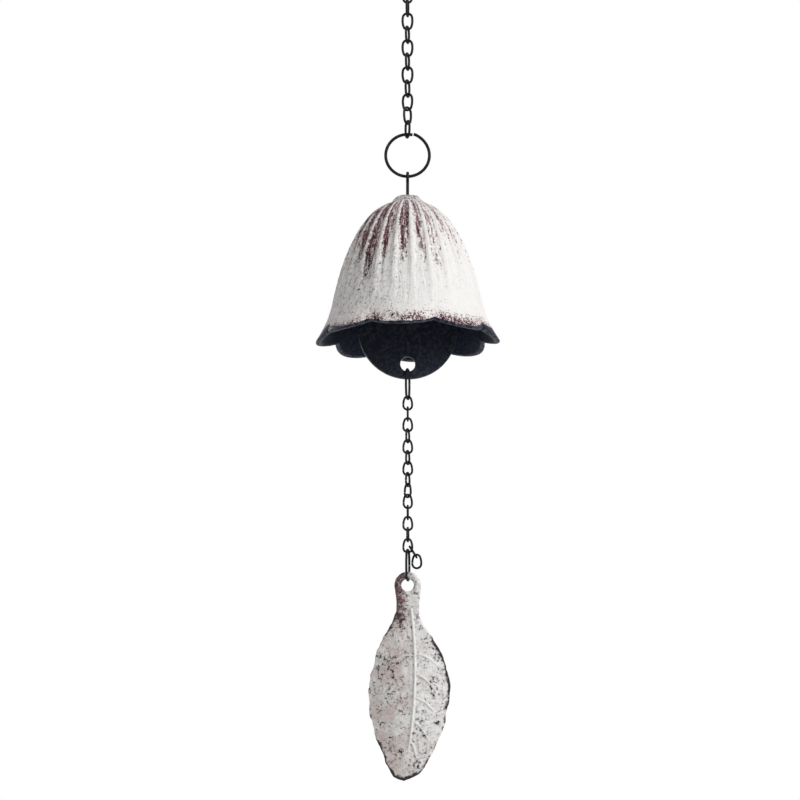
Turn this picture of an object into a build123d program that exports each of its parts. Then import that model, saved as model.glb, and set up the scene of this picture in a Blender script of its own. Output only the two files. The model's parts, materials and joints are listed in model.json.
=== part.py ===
from build123d import *
import math
import os

# A furin, the cast iron wind bell that hangs under the eaves in the Japanese summer. A ribbed flower
# bell with eight flared lobes hangs on a wire chain. Inside it a flat round clapper hangs on a wire,
# and a second chain under the clapper carries a cast leaf that catches the wind and swings it.
# Lengths are millimetres, angles degrees. +Z is up, +X is to the right and -Y faces the viewer. The
# origin is the seat inside the top of the hanging ring, where the ring rests on a hook.

# Play between pieces that hang in one another
LINK_PLAY = 0.1
PLATE_PLAY = 0.15
BELL_PLAY = 0.25

# Split wire rings: the hanging ring at the top and the ring between chain and bell
RING_OUTER = 18.0
RING_WIRE = 1.2
RING_SEAM = 0.2
RING_SEAM_ANGLE = 76.0
RING_LIFT = 1.0
RING_LIFT_TURN = 60.0

# Chain links, egg shaped: the big links above the bell and the small ones under the clapper
LINK_SEAM = 0.15
UPPER_WIRE = 0.95
UPPER_INNER_LENGTH = 5.55
UPPER_WIDE_RADIUS = 1.8
UPPER_NARROW_RADIUS = 1.6
UPPER_SIDE_RADIUS = 8.0
UPPER_TURNS = (88, 4, 80, 2, 72, 0, 72, -2, 68, -20, 46, 113)
LOWER_WIRE = 0.82
LOWER_INNER_LENGTH = 4.26
LOWER_WIDE_RADIUS = 1.65
LOWER_NARROW_RADIUS = 1.3
LOWER_SIDE_RADIUS = 6.0
LOWER_TURNS = (4, 90, 0, 70, 2, 68, 0, 66, 132, 20, 88, 4, 82, -4)

# Long links that join the small chain to the clapper and to the leaf
LONG_WIRE = 0.9
LONG_INNER_LENGTH = 10.5
LONG_END_RADIUS = 2.1
LONG_SIDE_RADIUS = 24.0
CLAPPER_LINK_TURN = 74.0
LEAF_LINK_TURN = 76.0

# Wires bent to an eye at each end: the hanger that carries the bell and the clapper wire inside it
EYE_BEND = 1.3
EYE_OPENING = 60.0
HANGER_WIRE = 1.2
HANGER_TOP_EYE = 1.7
HANGER_INNER_EYE = 2.6
HANGER_SHANK = 5.2
CLAPPER_WIRE = 1.0
CLAPPER_WIRE_TOP_EYE = 2.1
CLAPPER_WIRE_LOW_EYE = 3.0

# Bell, with lobes that flare out at the mouth and ribs that fade out towards it
BELL_HEIGHT = 57.2
DOME_POWER = 1.44
DOME_ROOT = 0.383
MOUTH_RADIUS = 35.3
CUSP_DEPTH = 3.6
CUSP_RISE = 2.6
FLARE_REACH = 4.8
FLARE_HEIGHT = 15.0
FLARE_POWER = 2.0
BELL_WALL = 2.2
BELL_LOBES = 8
RIBS_PER_LOBE = 3
RIB_HEIGHT = 0.7
RIB_FADE_HEIGHT = 26.0
BELL_STATIONS = 11
BELL_TURN = -4.0
BOSS_RADIUS = 6.7
BOSS_TOP_RADIUS = 4.6
BOSS_ROUND = 0.8
BOSS_STAND = 2.1
CROWN_THICKNESS = 5.0
CROWN_BORE = 2.4
CEILING_CUT = 0.7

# Clapper, a flat disc with a hole above and below
CLAPPER_DIAMETER = 37.6
CLAPPER_THICKNESS = 2.0
CLAPPER_HOLE = 5.7
CLAPPER_HOLE_MARGIN = 2.85
CLAPPER_EDGE = 0.4
CLAPPER_RISE = 4.95
CLAPPER_TURN = 5.0

# Leaf, from the middle of its eye down to its tip. The outlines hold shares of width and of length.
LEAF_LENGTH = 72.0
LEAF_LEFT_WIDTH = 14.4
LEAF_RIGHT_WIDTH = 15.5
LEAF_THICKNESS = 3.4
LEAF_EDGE_THICKNESS = 2.0
LEAF_EDGE_ROUND = 0.6
LEAF_NECK = 8.6
LEAF_EYE = 10.0
LEAF_EYE_TUBE = 2.7
LEAF_TIP_OFFSET = 1.7
LEAF_LEFT_OUTLINE = (
    (0.29, 0.115), (0.42, 0.2), (0.66, 0.28), (0.87, 0.4),
    (1.0, 0.57), (0.88, 0.73), (0.66, 0.85), (0.42, 0.965),
)
LEAF_RIGHT_OUTLINE = (
    (0.27, 0.115), (0.36, 0.2), (0.6, 0.28), (0.86, 0.38),
    (1.0, 0.53), (0.86, 0.71), (0.66, 0.82), (0.33, 0.95),
)

# Veins of the leaf: where the midrib starts, bows and ends down the leaf, then root, end across and
# end down of each side vein
MIDRIB_WIDTH = 1.8
MIDRIB_BOW = 2.5
MIDRIB_MIDDLE = 0.48
MIDRIB_SPAN = (0.13, 0.48, 0.9)
VEIN_WIDTH = 1.1
VEIN_SINK = 0.3
VEIN_BOW = 0.7
LEAF_VEINS = (
    (0.3, 0.66, 0.41), (0.42, 0.68, 0.54), (0.54, 0.64, 0.65),
    (0.66, 0.5, 0.77), (0.76, 0.26, 0.86), (0.32, -0.5, 0.42),
    (0.44, -0.62, 0.54), (0.56, -0.6, 0.66), (0.68, -0.46, 0.77),
)

# The two left over links, the first leaning out over the side of the last small link
SPARE_TURN = 87.0
SPARE_LEAN_RIGHT = 31.5
SPARE_LEAN_FRONT = 20.5
SPARE_BACK = 0.75
SPARE_PLAY = 0.59
SPARE_SHIFT_RIGHT = 0.12
SPARE_SHIFT_BACK = 0.27


def wire_form(edges, diameter):
    """Round wire bent along edges drawn in the XZ plane."""
    path = Wire([Plane.XZ * edge for edge in edges])
    section = Plane(path @ 0, z_dir=path % 0) * Circle(diameter / 2)
    return sweep(section, path=path)


def split_ring():
    """Ring of wire about its own middle, with a seam beside the top and one end bent a little wide."""
    radius = (RING_OUTER - RING_WIRE) / 2
    half_seam = math.degrees(RING_SEAM / 2 / radius)
    first_end = RING_SEAM_ANGLE + half_seam
    bend = RING_SEAM_ANGLE - RING_LIFT_TURN
    wide = radius + RING_LIFT
    wide_centre = (-RING_LIFT * math.cos(math.radians(bend)), -RING_LIFT * math.sin(math.radians(bend)))
    wide_turn = (RING_LIFT_TURN - half_seam) * radius / wide
    round_arc = CenterArc((0, 0), radius, first_end, bend + 360 - first_end)
    wide_arc = CenterArc(wide_centre, wide, bend, wide_turn)
    return wire_form([round_arc, wide_arc], RING_WIRE)


def egg_link(wire, inner_length, wide, narrow, side):
    """Link of four tangent arcs about its own middle, wide end up, with its seam on the right side."""
    length = inner_length + wire
    wide_z = length / 2 - wide
    narrow_z = narrow - length / 2
    wide_reach = side - wide
    narrow_reach = side - narrow
    side_z = (wide_z**2 - narrow_z**2 - wide_reach**2 + narrow_reach**2) / (2 * (wide_z - narrow_z))
    side_x = math.sqrt(wide_reach**2 - (side_z - wide_z) ** 2)
    high = math.degrees(math.atan2(wide_z - side_z, side_x))
    low = math.degrees(math.atan2(narrow_z - side_z, side_x))
    half_seam = math.degrees(LINK_SEAM / 2 / side)
    arcs = [
        CenterArc((-side_x, side_z), side, half_seam, high - half_seam),
        CenterArc((0, wide_z), wide, high, 180 - 2 * high),
        CenterArc((side_x, side_z), side, 180 - high, high - low),
        CenterArc((0, narrow_z), narrow, 180 - low, 180 + 2 * low),
        CenterArc((-side_x, side_z), side, low, -low - half_seam),
    ]
    return wire_form(arcs, wire)


def upper_link():
    """Big link, wide end up."""
    ends = (UPPER_WIDE_RADIUS, UPPER_NARROW_RADIUS)
    return egg_link(UPPER_WIRE, UPPER_INNER_LENGTH, *ends, UPPER_SIDE_RADIUS)


def lower_link():
    """Small link, narrow end up."""
    ends = (LOWER_WIDE_RADIUS, LOWER_NARROW_RADIUS)
    return Rot(0, 180, 0) * egg_link(LOWER_WIRE, LOWER_INNER_LENGTH, *ends, LOWER_SIDE_RADIUS)


def long_link():
    """Long link with two like ends."""
    return egg_link(LONG_WIRE, LONG_INNER_LENGTH, LONG_END_RADIUS, LONG_END_RADIUS, LONG_SIDE_RADIUS)


def eye_neck(eye):
    """Height above the middle of an eye at which its straight shank begins."""
    lean = math.acos(EYE_BEND / (EYE_BEND + eye))
    return (EYE_BEND + eye) * math.sin(lean)


def eye_on_shank(eye, wire, shank_end):
    """Eye about the origin at the foot of a straight shank that ends at height shank_end."""
    lean = math.degrees(math.acos(EYE_BEND / (EYE_BEND + eye)))
    neck = eye_neck(eye)
    shank = Line((0, shank_end), (0, neck))
    bend = CenterArc((EYE_BEND, neck), EYE_BEND, 180, lean)
    loop = CenterArc((0, 0), eye, lean, EYE_OPENING - 360)
    return wire_form([shank, bend, loop], wire)


def two_eyed_wire(wire, top_eye, low_eye, span, twist):
    """Straight wire about the middle of the span between its eyes, the top eye turned by twist."""
    low = eye_on_shank(low_eye, wire, span / 2)
    top = Rot(0, 0, twist) * Rot(0, 180, 0) * eye_on_shank(top_eye, wire, span / 2)
    return Pos(0, 0, -span / 2) * low + Pos(0, 0, span / 2) * top


def fade(height, full_height):
    """Smooth rise from nothing at the mouth to one at full_height."""
    part = min(max(height / full_height, 0.0), 1.0)
    return part * part * (3 - 2 * part)


def dome_radius(height, foot_radius, top_height):
    """Radius of the dome, without its flare, at a height above the mouth."""
    return foot_radius * (1 - (height / top_height) ** DOME_POWER) ** DOME_ROOT


def dome_height(radius, foot_radius, top_height):
    """Height at which the dome has come in to a radius."""
    return top_height * (1 - (radius / foot_radius) ** (1 / DOME_ROOT)) ** (1 / DOME_POWER)


def lobe_radius(angle, tip, cusp):
    """Radius of one lobe, an arc through cusp, tip and cusp, at an angle from its middle."""
    half = math.pi / BELL_LOBES
    centre = (tip**2 - cusp**2) / (2 * (tip - cusp * math.cos(half)))
    return centre * math.cos(angle) + math.sqrt((tip - centre) ** 2 - (centre * math.sin(angle)) ** 2)


def bell_section(height, foot_radius, top_height, inset, arcs_per_lobe, groove):
    """Closed outline of the bell at one height, in arcs that bow in by groove between the ribs."""
    flare = max(1 - height / FLARE_HEIGHT, 0.0) ** FLARE_POWER
    dome = dome_radius(height, foot_radius, top_height)
    tip = dome + (MOUTH_RADIUS - inset - foot_radius) * flare
    cusp = tip - CUSP_DEPTH * flare
    step = 2 * math.pi / BELL_LOBES / arcs_per_lobe

    def point(place, depth):
        from_middle = (place % arcs_per_lobe - arcs_per_lobe / 2) * step
        radius = lobe_radius(from_middle, tip, cusp) - depth
        angle = place * step - math.pi / 2 - math.pi / BELL_LOBES
        return (radius * math.cos(angle), radius * math.sin(angle), height)

    count = BELL_LOBES * arcs_per_lobe
    arcs = [ThreePointArc(point(n, 0), point(n + 0.5, groove), point(n + 1, 0)) for n in range(count)]
    return make_face(arcs)


def bell_loft(foot_radius, top_height, inset, end_height, arcs_per_lobe, rib_height):
    """Loft from the mouth to end_height, through sections set closer at both ends."""
    sections = []
    for n in range(BELL_STATIONS):
        height = end_height * (1 - math.cos(math.pi * n / (BELL_STATIONS - 1))) / 2
        narrow = dome_radius(height, foot_radius, top_height) / foot_radius
        groove = rib_height * fade(height, RIB_FADE_HEIGHT) * narrow
        sections.append(bell_section(height, foot_radius, top_height, inset, arcs_per_lobe, groove))
    return loft(sections)


def bell():
    """Cast bell with its mouth at height zero and a lobe towards the viewer."""
    body = MOUTH_RADIUS - FLARE_REACH
    dome_top = BELL_HEIGHT - BOSS_STAND
    shoulder = dome_height(BOSS_RADIUS, body, dome_top)
    outside = bell_loft(body, dome_top, 0, shoulder, RIBS_PER_LOBE, RIB_HEIGHT)
    ceiling = BELL_HEIGHT - CROWN_THICKNESS
    inside = bell_loft(body - BELL_WALL, ceiling + CEILING_CUT, BELL_WALL, ceiling, 1, 0)

    boss_height = BELL_HEIGHT - shoulder
    boss = Pos(0, 0, shoulder + boss_height / 2) * Cone(BOSS_RADIUS, BOSS_TOP_RADIUS, boss_height)
    boss = fillet(boss.edges().sort_by(Axis.Z)[-1], BOSS_ROUND)

    half_chord = (MOUTH_RADIUS - CUSP_DEPTH) * math.sin(math.pi / BELL_LOBES)
    scallop = (half_chord**2 + CUSP_RISE**2) / (2 * CUSP_RISE)
    reach = 2 * MOUTH_RADIUS
    side = reach * math.tan(math.pi / BELL_LOBES)
    wedge = Plane.XY * make_face(Polyline((0, 0), (reach, -side), (reach, side), close=True))
    below_lip = extrude(wedge, CUSP_RISE, both=True)
    below_lip -= Pos(reach / 2, 0, scallop) * Rot(0, 90, 0) * Cylinder(scallop, 2 * reach)

    shell = outside - inside + boss
    for n in range(BELL_LOBES):
        shell -= Rot(0, 0, 360 / BELL_LOBES * n - 90) * below_lip
    return shell - Pos(0, 0, BELL_HEIGHT) * Cylinder(CROWN_BORE / 2, BELL_HEIGHT)


def clapper():
    """Disc about its own middle, facing the viewer."""
    disc = Cylinder(CLAPPER_DIAMETER / 2, CLAPPER_THICKNESS)
    offset = (CLAPPER_DIAMETER - CLAPPER_HOLE) / 2 - CLAPPER_HOLE_MARGIN
    for y in (-offset, offset):
        disc -= Pos(0, y, 0) * Cylinder(CLAPPER_HOLE / 2, CLAPPER_THICKNESS)
    disc = fillet(disc.edges().filter_by(GeomType.CIRCLE), CLAPPER_EDGE)
    return Plane.XZ * disc


def leaf_face(x):
    """Distance of the crowned face from the middle plane of the leaf."""
    bulge = (LEAF_THICKNESS - LEAF_EDGE_THICKNESS) / 2
    return LEAF_THICKNESS / 2 - bulge * (x / LEAF_RIGHT_WIDTH) ** 2


def midrib_x(down):
    """Sideways bow of the midrib at a share of the leaf's length."""
    return MIDRIB_BOW * (1 - ((down - MIDRIB_MIDDLE) / MIDRIB_MIDDLE) ** 2)


def leaf_ridge(points, width):
    """Round ridge, sunk in the front face, through three points of it."""
    path = ThreePointArc(*[(x, VEIN_SINK - leaf_face(x), z) for x, z in points])
    section = Plane(path @ 0, z_dir=path % 0) * Circle(width / 2)
    return sweep(section, path=path)


def leaf():
    """Cast leaf about the middle of its eye, tip down and veins to the front."""
    eye_tube = LEAF_EYE_TUBE / 2
    eye_radius = LEAF_EYE / 2 - eye_tube
    neck_left = (-LEAF_NECK / 2, -eye_radius)
    neck_right = (LEAF_NECK / 2, -eye_radius)
    tip = (-LEAF_TIP_OFFSET, -LEAF_LENGTH)
    left_side = [(-LEAF_LEFT_WIDTH * across, -LEAF_LENGTH * down) for across, down in LEAF_LEFT_OUTLINE]
    right_side = [(LEAF_RIGHT_WIDTH * across, -LEAF_LENGTH * down) for across, down in LEAF_RIGHT_OUTLINE]
    outline = [
        Spline([neck_left] + left_side + [tip]),
        Spline([tip] + right_side[::-1] + [neck_right]),
        Line(neck_right, neck_left),
    ]
    slab = extrude(Plane.XZ * make_face(outline), LEAF_THICKNESS, both=True)

    bulge = (LEAF_THICKNESS - LEAF_EDGE_THICKNESS) / 2
    crown = (LEAF_RIGHT_WIDTH**2 + bulge**2) / (2 * bulge)
    set_back = crown - LEAF_THICKNESS / 2
    middle_z = -LEAF_LENGTH / 2
    front = Pos(0, set_back, middle_z) * Cylinder(crown, 2 * LEAF_LENGTH)
    back = Pos(0, -set_back, middle_z) * Cylinder(crown, 2 * LEAF_LENGTH)
    blade = slab & front & back
    long_edges = [edge for edge in blade.edges() if edge.length > LEAF_LENGTH / 2]
    blade = fillet(long_edges, LEAF_EDGE_ROUND)

    def on_midrib(down):
        return (midrib_x(down), -LEAF_LENGTH * down)

    ridges = [leaf_ridge([on_midrib(down) for down in MIDRIB_SPAN], MIDRIB_WIDTH)]
    for root, across, down in LEAF_VEINS:
        start = on_midrib(root)
        end = (across * LEAF_RIGHT_WIDTH, -LEAF_LENGTH * down)
        bow = ((start[0] + end[0]) / 2, (start[1] + end[1]) / 2 + VEIN_BOW)
        ridges.append(leaf_ridge([start, bow, end], VEIN_WIDTH))
    return blade + Plane.XZ * Torus(eye_radius, eye_tube) + ridges


def hang(foot, foot_wire, wire):
    """Height of the middle of a wire that hangs on the inside of the wire at foot."""
    return foot + (foot_wire + wire) / 2 + LINK_PLAY


def plate_seat(loop, wire, thickness):
    """Distance from the middle of a loop's end wire to the edge of a plate that sits in the loop."""
    return loop - math.sqrt((loop - wire / 2) ** 2 - (thickness / 2) ** 2) + PLATE_PLAY


pieces = {}

# Hanging ring, its inside top at the origin
ring_radius = (RING_OUTER - RING_WIRE) / 2
hanging_ring_z = RING_WIRE / 2 - ring_radius
pieces["hanging_ring"] = Pos(0, 0, hanging_ring_z) * split_ring()
foot = hanging_ring_z - ring_radius
foot_wire = RING_WIRE

# Upper chain, each link turned a quarter or so against the one above
upper_length = UPPER_INNER_LENGTH + UPPER_WIRE
for number, turn in enumerate(UPPER_TURNS, 1):
    top = hang(foot, foot_wire, UPPER_WIRE)
    link = Rot(0, 0, turn) * upper_link()
    pieces[f"upper_link_{number:02d}"] = Pos(0, 0, top - upper_length / 2) * link
    foot = top - upper_length
    foot_wire = UPPER_WIRE

# Ring between the chain and the bell
bell_ring_z = hang(foot, foot_wire, RING_WIRE) - ring_radius
pieces["bell_ring"] = Pos(0, 0, bell_ring_z) * split_ring()
foot = bell_ring_z - ring_radius

# Hanger wire: its top eye is on the ring, a quarter turn from the inner eye, which is wider than the
# bore in the crown and so carries the bell
top_eye_z = hang(foot, RING_WIRE, HANGER_WIRE) - HANGER_TOP_EYE
crown_z = top_eye_z - eye_neck(HANGER_TOP_EYE) - HANGER_SHANK
shoulder_rise = math.sqrt(HANGER_INNER_EYE**2 - (CROWN_BORE / 2) ** 2) + HANGER_WIRE / 2
inner_eye_z = crown_z - CROWN_THICKNESS - BELL_PLAY - shoulder_rise
hanger_span = top_eye_z - inner_eye_z
hanger = two_eyed_wire(HANGER_WIRE, HANGER_TOP_EYE, HANGER_INNER_EYE, hanger_span, 90)
pieces["hanger_wire"] = Pos(0, 0, (top_eye_z + inner_eye_z) / 2) * hanger
foot = inner_eye_z - HANGER_INNER_EYE

# Bell, free to turn on the hanger's shank
mouth_z = crown_z - BELL_HEIGHT
pieces["bell"] = Pos(0, 0, mouth_z) * Rot(0, 0, BELL_TURN) * bell()

# Clapper, its middle a little above the mouth
clapper_z = mouth_z + CLAPPER_RISE
hole_reach = CLAPPER_DIAMETER / 2 - CLAPPER_HOLE_MARGIN
pieces["clapper"] = Pos(0, 0, clapper_z) * Rot(0, 0, CLAPPER_TURN) * clapper()

# Wire inside the bell from the hanger down to the top of the clapper's upper hole, its eyes square to
# the disc
wire_top_z = hang(foot, HANGER_WIRE, CLAPPER_WIRE) - CLAPPER_WIRE_TOP_EYE
clapper_pivot_z = clapper_z + hole_reach - plate_seat(CLAPPER_WIRE_LOW_EYE, CLAPPER_WIRE, CLAPPER_THICKNESS)
wire_span = wire_top_z - clapper_pivot_z - CLAPPER_WIRE_LOW_EYE
wire_eyes = (CLAPPER_WIRE_TOP_EYE, CLAPPER_WIRE_LOW_EYE)
clapper_wire = Rot(0, 0, 90 + CLAPPER_TURN) * two_eyed_wire(CLAPPER_WIRE, *wire_eyes, wire_span, 0)
pieces["clapper_wire"] = Pos(0, 0, wire_top_z - wire_span / 2) * clapper_wire

# Long link in the clapper's lower hole
long_length = LONG_INNER_LENGTH + LONG_WIRE
clapper_link_top = clapper_z - hole_reach + plate_seat(LONG_END_RADIUS, LONG_WIRE, CLAPPER_THICKNESS)
clapper_link = Rot(0, 0, CLAPPER_LINK_TURN) * long_link()
pieces["clapper_link"] = Pos(0, 0, clapper_link_top - long_length / 2) * clapper_link
foot = clapper_link_top - long_length
foot_wire = LONG_WIRE

# Lower chain
lower_length = LOWER_INNER_LENGTH + LOWER_WIRE
for number, turn in enumerate(LOWER_TURNS, 1):
    top = hang(foot, foot_wire, LOWER_WIRE)
    link = Rot(0, 0, turn) * lower_link()
    pieces[f"lower_link_{number:02d}"] = Pos(0, 0, top - lower_length / 2) * link
    foot = top - lower_length
    foot_wire = LOWER_WIRE

# Long link that carries the leaf
leaf_link_top = hang(foot, LOWER_WIRE, LONG_WIRE)
leaf_link = Rot(0, 0, LEAF_LINK_TURN) * long_link()
pieces["leaf_link"] = Pos(0, 0, leaf_link_top - long_length / 2) * leaf_link
leaf_pivot_z = leaf_link_top - long_length

# Two left over links, the first in the last small link and over the top of the long link
spare_x = LOWER_WIDE_RADIUS - LOWER_WIRE - LINK_PLAY
spare_reach = (LONG_WIRE + LOWER_WIRE) / 2 + SPARE_PLAY
spare_top = Vector(spare_x, SPARE_BACK, leaf_link_top + math.sqrt(spare_reach**2 - spare_x**2))
spare_lean = Rot(0, -SPARE_LEAN_RIGHT, 0) * Rot(-SPARE_LEAN_FRONT, 0, 0)
spare_link = Pos(0, 0, -lower_length / 2) * Rot(0, 0, SPARE_TURN) * lower_link()
pieces["spare_link_1"] = Pos(spare_top) * spare_lean * spare_link
spare_foot = (Pos(spare_top) * spare_lean * Pos(0, 0, -lower_length)).position
spare_next = spare_foot + Vector(SPARE_SHIFT_RIGHT, SPARE_SHIFT_BACK, LOWER_WIRE + LINK_PLAY)
pieces["spare_link_2"] = Pos(spare_next) * Pos(0, 0, -lower_length / 2) * lower_link()

# Leaf, hung by the top of its eye
leaf_z = leaf_pivot_z + LONG_WIRE / 2 + LINK_PLAY + LEAF_EYE_TUBE - LEAF_EYE / 2
pieces["leaf"] = Pos(0, 0, leaf_z) * leaf()

os.makedirs("parts", exist_ok=True)
for name, piece in pieces.items():
    export_step(piece, f"parts/{name}.step")
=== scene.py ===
import itertools
import json
import math
import bmesh
import bpy
from mathutils import Matrix, Vector
from mathutils import noise as blender_noise
from mathutils.geometry import interpolate_bezier
from mathutils.kdtree import KDTree

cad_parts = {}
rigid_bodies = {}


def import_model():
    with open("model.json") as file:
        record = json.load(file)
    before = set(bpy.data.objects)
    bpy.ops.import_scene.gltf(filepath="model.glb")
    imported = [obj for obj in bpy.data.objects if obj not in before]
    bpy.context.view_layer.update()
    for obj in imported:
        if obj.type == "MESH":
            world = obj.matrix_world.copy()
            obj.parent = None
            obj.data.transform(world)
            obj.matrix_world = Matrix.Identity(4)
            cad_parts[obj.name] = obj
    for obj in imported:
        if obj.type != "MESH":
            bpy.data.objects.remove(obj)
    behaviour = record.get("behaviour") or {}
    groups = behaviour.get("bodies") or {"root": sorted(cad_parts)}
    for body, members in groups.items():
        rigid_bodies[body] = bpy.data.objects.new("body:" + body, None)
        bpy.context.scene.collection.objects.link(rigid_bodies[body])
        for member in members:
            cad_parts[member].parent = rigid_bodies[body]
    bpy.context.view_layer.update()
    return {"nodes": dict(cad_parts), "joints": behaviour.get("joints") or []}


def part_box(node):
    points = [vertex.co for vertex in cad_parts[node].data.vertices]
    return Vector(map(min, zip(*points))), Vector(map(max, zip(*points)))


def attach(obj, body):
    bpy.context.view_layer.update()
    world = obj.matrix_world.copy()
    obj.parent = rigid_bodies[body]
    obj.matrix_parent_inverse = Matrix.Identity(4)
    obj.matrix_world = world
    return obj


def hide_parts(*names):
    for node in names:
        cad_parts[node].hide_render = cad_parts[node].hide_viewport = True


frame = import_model()

# Split rings. The hanging ring goes over a hook and the bell ring joins the chain to the bell. Each is
# a round of blackened steel wire whose ends butt beside the top, one sprung a little wide. A noise here
# is its scale per millimetre, detail and roughness, and an edge is the two values it fades between.
MM = 0.001
RING_OUTER = 18.0 * MM
RING_WIRE = 1.2 * MM
RING_SEAM = 0.2 * MM
RING_SEAM_ANGLE = 76.0
RING_LIFT = 1.0 * MM
RING_LIFT_TURN = 60.0
WIRE_SIDES = 16
WIRE_SHARP = 50.0
ARC_STEP = 5.0
LUMP_NOISE = (0.35, 2.0)
GRAIN_NOISE = (2.6, 4.0, 0.6)
BLACKENED_WIRE = {
    "black": (0.006, 0.006, 0.007, 1), "grey": (0.020, 0.019, 0.018, 1),
    "rub_noise": (0.55, 3.0, 0.6), "rub_edge": (0.52, 0.68),
    "gloss_noise": (1.7, 3.0), "roughness": (0.3, 0.7, 0.34, 0.52), "specular": 0.12,
    "skin": (0.3, 0.5), "bump": (0.25, 0.1 * MM),
}


def add(tree, kind, inputs=None, **settings):
    """New node in a tree, with its settings and with values or sockets on its inputs."""
    node = tree.nodes.new(kind)
    for key, value in settings.items():
        setattr(node, key, value)
    for key, value in (inputs or {}).items():
        if isinstance(value, bpy.types.NodeSocket):
            tree.links.new(value, node.inputs[key])
        else:
            node.inputs[key].default_value = value
    return node


def calc(tree, operation, first, second=0.0, third=0.0):
    """Output socket of a Math node."""
    inputs = {0: first, 1: second, 2: third}
    return add(tree, "ShaderNodeMath", inputs, operation=operation).outputs[0]


def times(tree, first, *others):
    """Product of sockets and values."""
    for other in others:
        first = calc(tree, "MULTIPLY", first, other)
    return first


def plus(tree, first, *others):
    """Sum of sockets and values."""
    for other in others:
        first = calc(tree, "ADD", first, other)
    return first


def minus(tree, first, second):
    """Difference of two sockets or values."""
    return calc(tree, "SUBTRACT", first, second)


def times_plus(tree, value, factor, base):
    """The value times the factor, plus the base."""
    return calc(tree, "MULTIPLY_ADD", value, factor, base)


def ramp(tree, value, low, high, first=0.0, last=1.0):
    """Smooth step of a value from low to high, from first to last."""
    inputs = {"Value": value, "From Min": low, "From Max": high, "To Min": first, "To Max": last}
    node = add(tree, "ShaderNodeMapRange", inputs, interpolation_type="SMOOTHSTEP")
    return node.outputs["Result"]


def mix(tree, share, first, second):
    """Colour between two colours."""
    inputs = {0: share, 6: first, 7: second}
    return add(tree, "ShaderNodeMix", inputs, data_type="RGBA").outputs[2]


def noise(tree, place, scale, detail=2.0, roughness=0.5):
    """Noise value at a place."""
    inputs = {"Vector": place, "Scale": scale, "Detail": detail, "Roughness": roughness}
    return add(tree, "ShaderNodeTexNoise", inputs).outputs["Fac"]


def place_in_mm(tree, stretch=(1.0, 1.0, 1.0)):
    """Object coordinates in millimetres, stretched along an axis by a share below one."""
    coordinates = add(tree, "ShaderNodeTexCoord")
    scale = [share / MM for share in stretch]
    mapping = add(tree, "ShaderNodeMapping", {"Vector": coordinates.outputs["Object"], "Scale": scale})
    return mapping.outputs[0]


def new_material(name):
    """Material with an empty tree, its Principled BSDF and its output."""
    material = bpy.data.materials.new(name)
    material.use_nodes = True
    tree = material.node_tree
    tree.nodes.clear()
    shader = add(tree, "ShaderNodeBsdfPrincipled")
    add(tree, "ShaderNodeOutputMaterial", {"Surface": shader.outputs[0]})
    return material, tree, shader


def finish_surface(tree, shader, color, roughness, specular, relief, bump):
    """Colour, gloss and relief of a surface, the relief with its bump's strength and depth."""
    tree.links.new(color, shader.inputs["Base Color"])
    tree.links.new(roughness, shader.inputs["Roughness"])
    shader.inputs["Specular IOR Level"].default_value = specular
    strength, depth = bump
    inputs = {"Strength": strength, "Distance": depth, "Height": relief}
    tree.links.new(add(tree, "ShaderNodeBump", inputs).outputs[0], shader.inputs["Normal"])


def new_tree(name, kind, inputs, outputs):
    """Node tree with named inputs and outputs of given kinds, and the sockets that its inputs give."""
    tree = bpy.data.node_groups.new(name, kind)
    for in_out, sockets in (("INPUT", inputs), ("OUTPUT", outputs)):
        for label, socket in sockets.items():
            tree.interface.new_socket(label, in_out=in_out, socket_type="NodeSocket" + socket)
    return tree, add(tree, "NodeGroupInput").outputs


def casting_grain():
    """Group: height of a fine uneven surface, coarse lumps and fine grain together."""
    inputs = {"Place": "Vector", "Lumps": "Float", "Grain": "Float"}
    group, given = new_tree("casting_grain", "ShaderNodeTree", inputs, {"Height": "Float"})
    lumps = times(group, noise(group, given["Place"], *LUMP_NOISE), given["Lumps"])
    grain = times(group, noise(group, given["Place"], *GRAIN_NOISE), given["Grain"])
    add(group, "NodeGroupOutput", {"Height": plus(group, lumps, grain)})
    return group


grain_group = casting_grain()


def uneven_skin(tree, place, lumps, grain):
    """Height of the uneven surface of one material."""
    inputs = {"Place": place, "Lumps": lumps, "Grain": grain}
    return add(tree, "ShaderNodeGroup", inputs, node_tree=grain_group).outputs["Height"]


def black_iron(name, black, grey, rub_noise, rub_edge, gloss_noise, roughness, specular, skin, bump):
    """Black on iron or steel, rubbed thin or dusted grey here and there."""
    material, tree, shader = new_material(name)
    place = place_in_mm(tree)
    rubbed = ramp(tree, noise(tree, place, *rub_noise), *rub_edge)
    color = mix(tree, rubbed, black, grey)
    gloss = ramp(tree, noise(tree, place, *gloss_noise), *roughness)
    relief = uneven_skin(tree, place, *skin)
    finish_surface(tree, shader, color, gloss, specular, relief, bump)
    return material


def finish_tree(tree, geometry, material):
    """End of a Geometry Nodes tree: smooth shading, plain meshes and their material."""
    smooth = add(tree, "GeometryNodeSetShadeSmooth", {0: geometry})
    real = add(tree, "GeometryNodeRealizeInstances", {0: smooth.outputs[0]})
    finish = add(tree, "GeometryNodeSetMaterial", {0: real.outputs[0], "Material": material})
    add(tree, "NodeGroupOutput", {0: finish.outputs[0]})


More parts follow.
